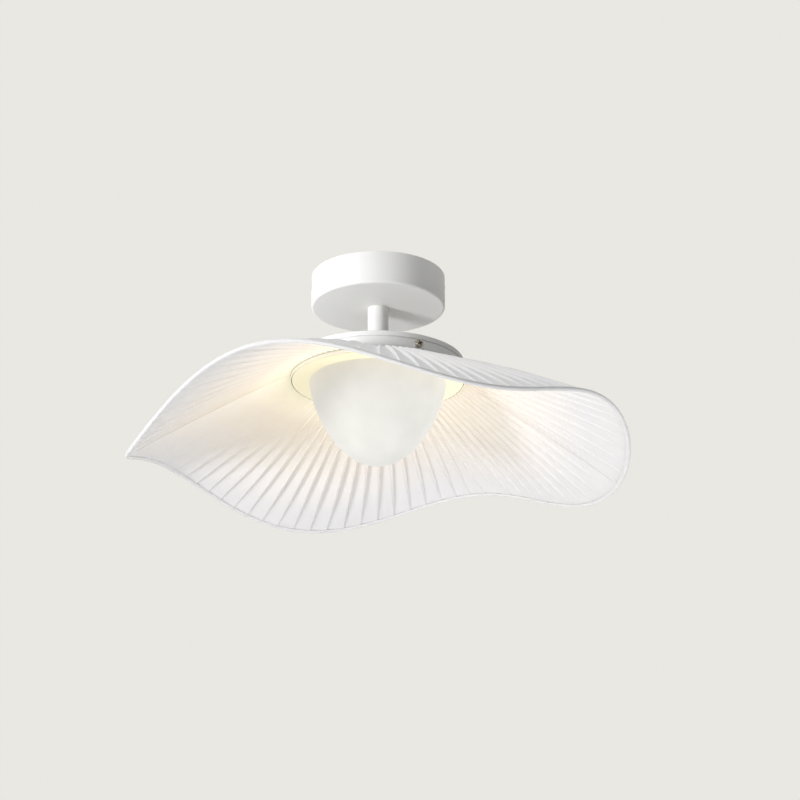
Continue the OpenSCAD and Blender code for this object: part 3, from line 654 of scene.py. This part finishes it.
head_outline = softened([
    (0, head_base, 0), (head_radius, head_base, 0.15), (head_radius, head_edge, 0.8),
    (head_crown, head_top, 0.9), (0, head_top, 0)], 6)
arm, half_width, recess = 2.35 * MM, 0.62 * MM, 1.4 * MM
cross_turn, next_cross_turn = 28, 41
cross_corner = ((arm, half_width), (half_width, half_width), (half_width, arm))
for number, azimuth in enumerate(side_screw_azimuths, 1):
    out = outward(azimuth)
    to_screw = Matrix.Translation(side_level) @ out.to_track_quat("Z", "Y").to_matrix().to_4x4()
    washer = turned(f"plain_washer_{number}", washer_outline, [bright_washer], f"side_washer_{number}",
                    72)
    washer.data.transform(to_screw)
    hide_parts(f"side_washer_{number}")
    threaded_rod(f"screw_shank_{number}", out * head_base * MM + side_level, -out, shank_length,
                 shank_root, f"side_screw_{number}")
    head = turned(f"screw_head_{number}", head_outline, [nickel_plate, painted_recess_shade],
                  f"side_screw_{number}", 72)
    head.data.transform(to_screw)
    turn = Matrix.Rotation(math.radians(cross_turn + next_cross_turn * number), 2)
    cross = [tuple(turn @ Vector((x * c - y * s, x * s + y * c)))
             for c, s in ((1, 0), (0, 1), (-1, 0), (0, -1)) for x, y in cross_corner]
    cut_away(head, [bar(out * (head_top * MM - recess) + side_level, out, recess + 1 * MM, cross)], 30, 1)
    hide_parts(f"side_screw_{number}")


# Light source: an aluminium heat plate on four brass standoffs carries the driver on top and a
# round white board with two rings of chips below. All of it is shut in behind the dome.
rolled_sheet = finished("rolled_sheet", metal, {
    "Tone": (0.74, 0.75, 0.76, 1), "Dull Tone": (0.6, 0.61, 0.62, 1), "Shine": 0.34},
    0.02 * MM, Metallic=1.0)
board_mask = finished("board_mask", moulded, {
    "Tone": (0.84, 0.84, 0.82, 1), "Deep Tone": (0.78, 0.78, 0.75, 1), "Shine": 0.25}, 0.01 * MM)
phosphor = finished("phosphor", moulded, {
    "Tone": (0.86, 0.72, 0.2, 1), "Deep Tone": (0.8, 0.62, 0.12, 1), "Shine": 0.3},
    0.01 * MM, Emission_Color=(1.0, 0.84, 0.55, 1), Emission_Strength=1.0)
driver_shell = finished("driver_shell", moulded, {
    "Tone": (0.78, 0.78, 0.76, 1), "Deep Tone": (0.7, 0.7, 0.68, 1), "Shine": 0.5}, 0.03 * MM)
dress(rolled_sheet, "heat_plate")
dress(board_mask, "light_board")
dress(phosphor, "light_chips")
dress(driver_shell, "driver")


# Opal dome: blown opal acrylic with a satin skin, a neck that goes up into the pan's opening
# and three bayonet lugs over its edge. The lamp behind it lights it evenly and it looks pale.
opal, opal_in = new_effect("opal_surface", {"Tone": (0.8, 0.8, 0.78, 1), "Glow": (0.8, 0.79, 0.75, 1)},
                           [("Glow", TONE)])
milk = grain(opal, 28 * MM)
satin = grain(opal, 0.4 * MM)
on_dome = split(opal.nodes.new("ShaderNodeTexCoord").outputs["Object"])
near_pan = spread(on_dome["Z"], -0.125, -0.1, 0.0, 0.35)
give(opal, Tone=blend_tones(spread(milk, 0.3, 0.7, 0, 0.12), opal_in["Tone"], (0.7, 0.69, 0.66, 1)),
     Roughness=spread(satin, 0.2, 0.8, 0.48, 0.58), Height=satin,
     Glow=blend_tones(near_pan, opal_in["Glow"], (1.0, 0.86, 0.62, 1)))


def effect_outputs(material):
    return material.node_tree.nodes["Group"].outputs


def glow_with(material, tone):
    """Feeds a material's emission from a node instead of a plain colour."""
    feed(material.node_tree.nodes["Principled BSDF"].inputs["Emission Color"], tone)


opal_skin = finished("opal_skin", opal, {"Tone": (0.26, 0.258, 0.245, 1), "Glow": (0.78, 0.775, 0.735, 1)},
                     0.01 * MM, Emission_Strength=0.6, Specular_IOR_Level=0.3)
glow_with(opal_skin, effect_outputs(opal_skin)["Glow"])

dome_radius, dome_depth, dome_power, dome_wall = 62, 77.8, 1.43, 2.2
dome_base = -102.2
neck_radius, neck_wall, neck_top = 57.8, 1.8, -98.6
lug_low = -100.6
dome_steps = 56


def dome_line(radius, depth, start):
    """The dome's side view from the level start below its base down to its lowest point."""
    line = []
    for k in range(dome_steps + 1):
        down = start + (depth - start) * math.sin(math.pi / 2 * k / dome_steps)
        line.append((radius * math.sqrt(max(0, 1 - (down / depth) ** dome_power)), dome_base - down))
    return line


dome_outline = [(neck_radius, neck_top - 0.2), (neck_radius, dome_base - 0.3), (neck_radius + 0.3, dome_base),
                (dome_radius - 0.6, dome_base), (dome_radius - 0.15, dome_base - 0.2)]
dome_outline += dome_line(dome_radius, dome_depth, 1.2)
dome_outline += reversed(dome_line(dome_radius - dome_wall, dome_depth - dome_wall, dome_wall))
dome_outline += [(neck_radius - neck_wall, dome_base - dome_wall), (neck_radius - neck_wall, neck_top),
                 (neck_radius - 0.2, neck_top)]
opal_dome = turned("dome_shell", dome_outline, [opal_skin], "dome", 192, 40)
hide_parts("opal_dome")
for k in range(3):
    points, faces = wedge_block(lug_azimuth + 120 * k, lug_half, neck_radius - 0.5, lug_reach, lug_low,
                                neck_top)
    new_piece(f"dome_lug_{k + 1}", points, faces, [opal_skin], "dome", 30)

glow_light = bpy.data.lights.new("lamp_glow", "POINT")
glow_light.energy = 0.23
glow_light.color = (1.0, 0.83, 0.56)
glow_light.shadow_soft_size = 30 * MM
glow = bpy.data.objects.new("lamp_glow", glow_light)
glow.location = (0, 0, -134 * MM)
stage.collection.objects.link(glow)


# Shade ring: a spun ring that goes round the drum, powder coated. Its lip is clamped between
# wall and pan, and its band carries the pleated cloth.
lip_radius, band_inner, band_outer = 75.5, 77.85, 78.5
lip_low, lip_top = -100.7, -99.9
band_low, band_middle, band_top = -101.8, -99.5, -96.8
ring_outline = softened([
    (lip_radius, lip_low, 0.1), (band_inner, lip_low, 0), (band_inner, band_low, 0.15),
    (band_outer, band_low, 0.3), (band_outer, band_middle, 0), (band_outer, band_top, 0.3),
    (band_inner, band_top, 0.3), (band_inner, lip_top, 0), (lip_radius, lip_top, 0.1)], 3)
# The ring's coat glows warm on its own: painted lamp light on the band.
ring_coat_painted_glow = finished("ring_coat_painted_glow", powder, {
    "Tone": (0.83, 0.81, 0.74, 1), "Dust Tone": (0.66, 0.63, 0.56, 1), "Dust": 0.2},
    0.02 * MM, Emission_Color=(1.0, 0.94, 0.8, 1), Emission_Strength=0.34)
# A near black steel for the faces inside the band: painted shade in the gap.
painted_gap_shade = finished("painted_gap_shade", metal, {
    "Tone": (0.12, 0.11, 0.1, 1), "Dull Tone": (0.07, 0.065, 0.06, 1), "Shine": 0.6},
    0.02 * MM, Metallic=0.4)
shade_ring = turned("clamp_ring", ring_outline, [ring_coat_painted_glow, painted_gap_shade, white_coat], "shade",
                    256)
# Inside the band the faces take a near black steel: painted shade in the gap between ring and
# drum. The upper half of its outside has no painted glow of its own.
for face in shade_ring.data.polygons:
    if face.center.xy.length < (band_inner + 0.05) * MM:
        face.material_index = 1
    elif face.center.z > band_middle * MM:
        face.material_index = 2
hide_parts("shade_ring")


# Pleated shade: two halves of lined cloth with sunburst pleats, 42 in each half, sewn together at
# the left and right seams. The hub edge is glued to the shade ring's band. The pleats lie flat
# under the tape at the rim; some in front lean the other way, those behind stand deeper half way out.
rim_reach, rim_drop, wave_swing, wave_count, wave_azimuth = 220, 65, 17, 4, 19.3
rim_level_waves = ((1, 2.2, 19.5), (2, 5.4, 6.9))
rim_reach_waves = ((1, 3.9, 180), (2, 3.6, 110), (3, 4.6, 0), (4, 3.6, 1))
hub_reach, hub_level = 78.8, -97.8
cloth_end, cloth_depth, cloth_thick = 1.6, 158, 0.55
pleats, left_seam, lean_changes = 84, 44, 77
pleat_cloth, wide_cloth = 17.0, 0.8
pleat_bow = 3
fold_hub, fold_mid, fold_rim, deeper_behind = 1.4, 3.2, 0.6, 0.45
wide_front, wide_behind, hub_loss = 0.89, 0.94, 0.32
ripple_height = 0.15
seam_gap, seam_turn, seam_flap = 0.15, 0.25, 2.0
glow_shift, glow_start, glow_end = 18 * MM, 60 * MM, 205 * MM


# Linen-look cloth: a plain weave of fine threads with slubs, and a faint cloudiness from the
# glue of the lining. The lamp's glow is painted on it as emission, strongest near the drum, in a
# pool centred a little left of the middle.
linen, linen_in = new_effect("linen_weave", {
    "Tone": (0.85, 0.84, 0.82, 1), "Slub Tone": (0.74, 0.72, 0.69, 1), "Thread": 0.5 * MM, "Crease Shade": 0.0},
    [("Nearness", NUMBER), ("Narrow", NUMBER)])
on_cloth = split(linen.nodes.new("ShaderNodeTexCoord").outputs["UV"])
warp, weft = [figure("DIVIDE", on_cloth[axis], linen_in["Thread"]) for axis in "XY"]
over = figure("FLOORED_MODULO", plus(figure("FLOOR", warp), figure("FLOOR", weft)), 2.0)
warp_round, weft_round = [figure("ABSOLUTE", figure("SINE", times(yarn, math.pi))) for yarn in (warp, weft)]
thread_height = plus(times(warp_round, figure("SUBTRACT", 1.0, over)), times(weft_round, over))
slub_along, slub_across = [grain(linen, 0.8 * MM, 2.0, pull, "UV") for pull in ((1, 0.04, 1), (0.04, 1, 1))]
slubs = figure("MAXIMUM", slub_along, slub_across)
glue_cloud = grain(linen, 30 * MM, place="UV")
slub_share = plus(spread(slubs, 0.5, 0.85, 0, 0.35), spread(glue_cloud, 0.35, 0.7, 0, 0.12))
gap_share = spread(thread_height, 0.0, 0.6, 0.22, 0)
# Both folds of a pleat get a thin darker line: painted shade in the creases.
in_pleat = figure("FRACT", figure("DIVIDE", on_cloth["X"], pleat_cloth * MM))
from_valley = figure("MINIMUM", in_pleat, figure("SUBTRACT", 1.0, in_pleat))
from_crest = figure("ABSOLUTE", figure("SUBTRACT", in_pleat, wide_cloth))
crease_shade_line = spread(figure("MINIMUM", from_valley, from_crest), 0.008, 0.032, 1, 0)
wear_and_crease_shade = plus(plus(slub_share, gap_share), times(crease_shade_line, linen_in["Crease Shade"]))
on_shade = split(linen.nodes.new("ShaderNodeTexCoord").outputs["Object"])
from_middle = figure("SQRT", plus(figure("POWER", plus(on_shade["X"], glow_shift), 2.0),
                                  figure("POWER", on_shade["Y"], 2.0)))
give(linen, Tone=blend_tones(wear_and_crease_shade, linen_in["Tone"], linen_in["Slub Tone"]),
     Roughness=spread(thread_height, 0, 1, 0.95, 0.8), Height=plus(thread_height, times(slubs, 0.8)),
     Nearness=spread(from_middle, glow_start, glow_end, 1, 0),
     Narrow=spread(in_pleat, wide_cloth - 0.02, wide_cloth + 0.01, 0, 1))

through_cloth = {
    "Subsurface_Weight": 0.5, "Subsurface_Radius": (1.0, 0.95, 0.9), "Subsurface_Scale": 0.7 * MM,
    "Sheen_Weight": 0.1, "Sheen_Roughness": 0.5}
# Inside and outside are one cloth in two tones, darker inside, for how the light falls on them: painted light
# and shade. The inside's emission paints the lamp's warm glow near the drum and a faint even glow elsewhere.
inside_cloth_painted_glow = finished("inside_cloth_painted_glow", linen, {
    "Tone": (0.585, 0.585, 0.6, 1), "Slub Tone": (0.505, 0.5, 0.51, 1), "Thread": 0.55 * MM, "Crease Shade": 0.7},
    0.05 * MM, Emission_Strength=0.4, **through_cloth)
nearness = effect_outputs(inside_cloth_painted_glow)["Nearness"]
painted_lamp_glow = blend_tones(nearness, (0.22, 0.21, 0.22, 1), (0.97, 0.7, 0.3, 1))
glow_with(inside_cloth_painted_glow, blend_tones(spread(nearness, 0.7, 1.0, 0, 1), painted_lamp_glow, (1.2, 1.06, 0.6, 1)))
# On the outside the cloth glows on its own, more in the narrow faces where it lies single: painted
# light of the lamp shining through.
outside_cloth_painted_glow = finished("outside_cloth_painted_glow", linen, {
    "Tone": (0.76, 0.765, 0.78, 1), "Slub Tone": (0.65, 0.65, 0.66, 1), "Thread": 0.55 * MM, "Crease Shade": 1.4},
    0.05 * MM, Emission_Strength=0.17, **through_cloth)
glow_with(outside_cloth_painted_glow, blend_tones(effect_outputs(outside_cloth_painted_glow)["Narrow"], (0.65, 0.65, 0.655, 1),
                                   (1.0, 0.99, 0.99, 1)))


def wave_sum(waves, azimuth):
    return sum(size * math.cos(math.radians(turns * (azimuth - crest))) for turns, size, crest in waves)


def rim_radius(azimuth):
    return rim_reach + wave_sum(rim_reach_waves, azimuth)


def rim_height(azimuth):
    swing = wave_swing * math.cos(math.radians(wave_count * (azimuth - wave_azimuth)))
    return pan_low - rim_drop - swing - wave_sum(rim_level_waves, azimuth)


def rim_point(azimuth, out, up):
    """A point at the rim, out along the pleat and up square to it, in millimetres."""
    radius, height = rim_radius(azimuth), rim_height(azimuth)
    slope = math.atan2(hub_level - height, radius - hub_reach)
    radius += out * math.cos(slope) + up * math.sin(slope)
    height += -out * math.sin(slope) + up * math.cos(slope)
    return outward(azimuth) * radius + Vector((0, 0, height))


def cloth_point(azimuth, reach, lift):
    """A point of the cloth: reach is 0 at the hub and 1 at the rim, lift is in millimetres."""
    edge = rim_point(azimuth, -cloth_end, 0)
    edge_radius = math.hypot(edge.x, edge.y)
    radius = hub_reach + (edge_radius - hub_reach) * reach
    level = hub_level + (edge.z - hub_level) * reach + pleat_bow * 4 * reach * (1 - reach)
    return outward(azimuth) * radius + Vector((0, 0, level + lift))


dice = random.Random(84)
pleat_depths = [dice.uniform(0.94, 1.2) for _ in range(pleats)]
pleat_shifts = [dice.uniform(-0.05, 0.05) for _ in range(pleats)]
crest_shifts = [dice.uniform(-0.04, 0.04) for _ in range(pleats)]
across_wide = (0, 0.04, 0.12, 0.3, 0.5, 0.7, 0.86, 0.95)
across_narrow = (0, 0.1, 0.3, 0.5, 0.7, 0.9)
rows = [0, 0.015, 0.04] + [k / 30 for k in range(2, 29)] + [0.955, 0.975, 0.99, 1]


def fold_height(valley, reach):
    """Height of the folds at a valley. Behind, they stand deeper half way out."""
    if reach < 0.5:
        height = fold_hub + (fold_mid - fold_hub) * math.sin(math.pi * reach)
    else:
        height = fold_mid + (fold_rim - fold_mid) * (reach * 2 - 1) ** 1.6
    behind = max(0, math.sin(math.tau * valley / pleats))
    return height * pleat_depths[valley % pleats] * (1 + deeper_behind * behind * math.sin(math.pi * reach))


def wide_share(reach, k):
    """The wide face's share of a pleat. Behind, the narrow one all but closes at the rim."""
    wander = crest_shifts[k % pleats] * math.sin(math.pi * reach)
    if k < left_seam:
        return wide_behind - hub_loss * max(0, 1 - reach) ** 0.8 + wander
    return wide_front + 0.02 * reach + wander


def leans_back(k):
    return left_seam <= k < lean_changes


def pleat_columns(first, last):
    """The lines of a half: pleat, share of the wide and of the narrow face, and the turn aside
    and up at the seams in millimetres."""
    columns = []
    for k in range(first, last):
        lines = [(x, 0) for x in across_wide] + [(1, x) for x in across_narrow] + [(1, 1)]
        if leans_back(k):
            lines.reverse()
        columns += [(k, wide, narrow, 0, 0) for wide, narrow in lines[:-1]]
    start, end = columns[0], (last - 1, *lines[-1])
    seam_start = [(*start[:3], seam_gap, seam_flap), (*start[:3], seam_turn, 0)]
    return seam_start + columns[1:] + [(*end, -seam_turn, 0), (*end, -seam_gap, seam_flap)]


def woven_piece(name, points, faces, weave, materials, face_slots, crease):
    """A cloth piece of the shade. It has weave coordinates in metres and a material per face."""
    mesh = bpy.data.meshes.new(name)
    mesh.from_pydata(points, [], faces)
    coordinates = mesh.uv_layers.new(name="weave")
    for loop in mesh.loops:
        coordinates.data[loop.index].uv = weave[loop.vertex_index]
    mesh.polygons.foreach_set("material_index", face_slots)
    return as_piece(mesh, materials, "shade", crease)


def cloth_half(name, first):
    """One half of the shade, as a closed thin sheet."""
    last = first + pleats // 2
    pitch = 360 / pleats
    below, above, weave = [], [], []
    for k, wide, narrow, aside, turned_up in pleat_columns(first, last):
        back = leans_back(k)
        next_valley = 1 - round(narrow) if back else round(narrow)
        for reach in rows:
            share = wide_share(reach, k)
            across = wide * share + narrow * (1 - share)
            along = 1 - across if back else across
            drift = pleat_shifts[k % pleats] * (1 - along) + pleat_shifts[(k + 1) % pleats] * along
            from_seam = min(1, k + along - first, last - k - along)
            place = k + along + drift * from_seam * math.sin(math.pi * reach)
            place += math.degrees(aside / (hub_reach + (rim_reach - hub_reach) * reach)) / pitch
            rise = 2 * wide - 1 - 2 * narrow
            depth = fold_height(k + next_valley, reach)
            ripple = ripple_height * noise.noise(Vector((place * 3.1, reach * 5, 0.7)))
            lift = depth * rise / 2 + ripple * from_seam * math.sin(math.pi * reach) + turned_up
            below.append(cloth_point(place * pitch, reach, lift - cloth_thick / 2) * MM)
            above.append(cloth_point(place * pitch, reach, lift + cloth_thick / 2) * MM)
            cloth_across = k + wide * wide_cloth + narrow * (1 - wide_cloth)
            if back:
                cloth_across = k + wide_cloth + (1 - narrow) * (1 - wide_cloth) + (1 - wide) * wide_cloth
            weave.append((cloth_across * pleat_cloth * MM, reach * cloth_depth * MM))
    count = len(rows)
    offset = len(below)
    end = offset - count
    faces = []
    for start in range(0, end, count):
        for r in range(start, start + count - 1):
            faces += [(r, r + 1, r + count + 1, r + count),
                      (offset + r, offset + r + count, offset + r + count + 1, offset + r + 1)]
        rim = start + count - 1
        faces += [(start, start + count, offset + start + count, offset + start),
                  (rim, offset + rim, offset + rim + count, rim + count)]
    for r in range(count - 1):
        faces += [(r, offset + r, offset + r + 1, r + 1),
                  (end + r, end + r + 1, offset + end + r + 1, offset + end + r)]
    outside = [int(max(face) >= offset) for face in faces]
    return woven_piece(name, below + above, faces, weave + weave, [inside_cloth_painted_glow, outside_cloth_painted_glow], outside, 28)


front_cloth = cloth_half("shade_cloth_front", left_seam)
back_cloth = cloth_half("shade_cloth_back", left_seam - pleats // 2)
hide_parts("shade_front")
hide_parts("shade_back")


# Rim: a bent spring-steel wire holds the wave. The cloth's hem is rolled round it and closes on
# the cloth inside, and a woven white tape covers the roll outside, sewn down with small
# stitches. Each pleat's narrow face marks the roll with a small tick.
dress(zinc_plate, "rim_wire")
tape_cloth = finished("tape_cloth", linen, {
    "Tone": (0.69, 0.69, 0.7, 1), "Slub Tone": (0.6, 0.6, 0.605, 1), "Thread": 0.7 * MM},
    0.03 * MM, Sheen_Weight=0.15, Sheen_Roughness=0.5)
tape_out, tape_in, roll_limit = 1.95, 3.5, 2
hem_line = [(-tape_in, 0.95), (-2.6, 1.25), (-1.6, 1.74), (-0.7, 1.92), (0.3, 1.92), (1.1, 1.6), (1.7, 0.95),
            (tape_out, 0.1), (1.75, -0.8), (1.2, -1.4), (0.3, -1.72), (-0.7, -1.58), (-1.6, -1.1),
            (-2.2, -0.78), (-2.2, -0.68), (-1.4, -0.86), (-0.6, -1.3), (0.3, -1.4), (1.0, -1.05),
            (1.42, -0.4), (1.5, 0.3), (1.1, 1.0), (0.4, 1.44), (-0.6, 1.45), (-1.5, 1.12), (-2.6, 0.72),
            (-tape_in, 0.62)]
first_under, last_under = 8, 13
tick_places = (0, 0.2, 0.42, 0.64, 0.82, 0.9, 0.94, 0.97)
tick_heights = (0.03, 0, 0, 0, 0, 0.05, 0.17, 0.15)
hem_points, hem_weave = [], []
run = 0
last_point = rim_point(-360 / pleats * (1 - tick_places[-1]), 0, 0)
for k in range(pleats):
    for place, tick in zip(tick_places, tick_heights):
        azimuth = (k + place) * 360 / pleats
        here = rim_point(azimuth, 0, 0)
        run += (here - last_point).length
        last_point = here
        pucker = 1 + 0.02 * noise.noise(Vector((run * 0.2, 3.3, 0)))
        for j, (out, up) in enumerate(hem_line):
            swell = 0
            if j <= last_under:
                swell = tick if j < first_under else -0.6 * tick
            size = pucker + swell / math.hypot(out, up)
            hem_points.append(rim_point(azimuth, min(out * size, roll_limit),
                                        max(-roll_limit, min(up * size, roll_limit))) * MM)
            hem_weave.append((run * MM, (out + up) * MM))
hem_stations = pleats * len(tick_places)
# The inner part of the roll takes the inside cloth with its painted lamp glow.
lit_faces = [int(first_under <= j <= last_under) for j in range(len(hem_line))] * hem_stations
rim_binding = woven_piece("rim_binding", hem_points, ring_faces(hem_stations, len(hem_line)), hem_weave,
                          [tape_cloth, inside_cloth_painted_glow], lit_faces, 60)
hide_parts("rim_tape")

thread = finished("sewing_thread", moulded, {
    "Tone": (0.84, 0.84, 0.85, 1), "Deep Tone": (0.74, 0.74, 0.75, 1), "Shine": 0.6}, 0.02 * MM)
stitch_pitch, stitch_length, stitch_width = 3.4, 2.3, 0.45
stitch_line, stitch_level, stitch_slant = -2.75, 1.2, 0.12
stitch_form = ((-1, 0.25, 0.25), (-0.7, 0.85, 0.08), (0, 1.0, 0.0), (0.7, 0.85, 0.08), (1, 0.25, 0.25))
stitch_sides = 6
stitch_count = int(run / stitch_pitch)
stitch_points, stitch_faces = [], []
for s in range(stitch_count):
    middle = 360 * s / stitch_count
    half_turn = math.degrees(stitch_length / 2 / rim_radius(middle))
    stitch_faces += tube_faces(len(stitch_form), stitch_sides, len(stitch_points))
    for turn, size, sink in stitch_form:
        for k in range(stitch_sides):
            angle = math.tau * k / stitch_sides
            stitch_points.append(rim_point(
                middle + turn * half_turn,
                stitch_line + turn * stitch_slant + stitch_width / 2 * size * math.cos(angle),
                stitch_level - sink + stitch_width / 3 * size * math.sin(angle)) * MM)
new_piece("rim_stitches", stitch_points, stitch_faces, [thread], "shade", 80)


# Light through the dome: the lamp's own glow and the softer left lamp pass the opal dome, and
# only these pieces stop them.
past_dome = bpy.data.collections.new("past_dome")
for piece in (ceiling_cup, stem, bottom_pan, drum_wall, drum_cap, shade_ring, front_cloth, back_cloth,
              rim_binding):
    past_dome.objects.link(piece)
glow.light_linking.blocker_collection = past_dome
softer_lamp.light_linking.blocker_collection = past_dome
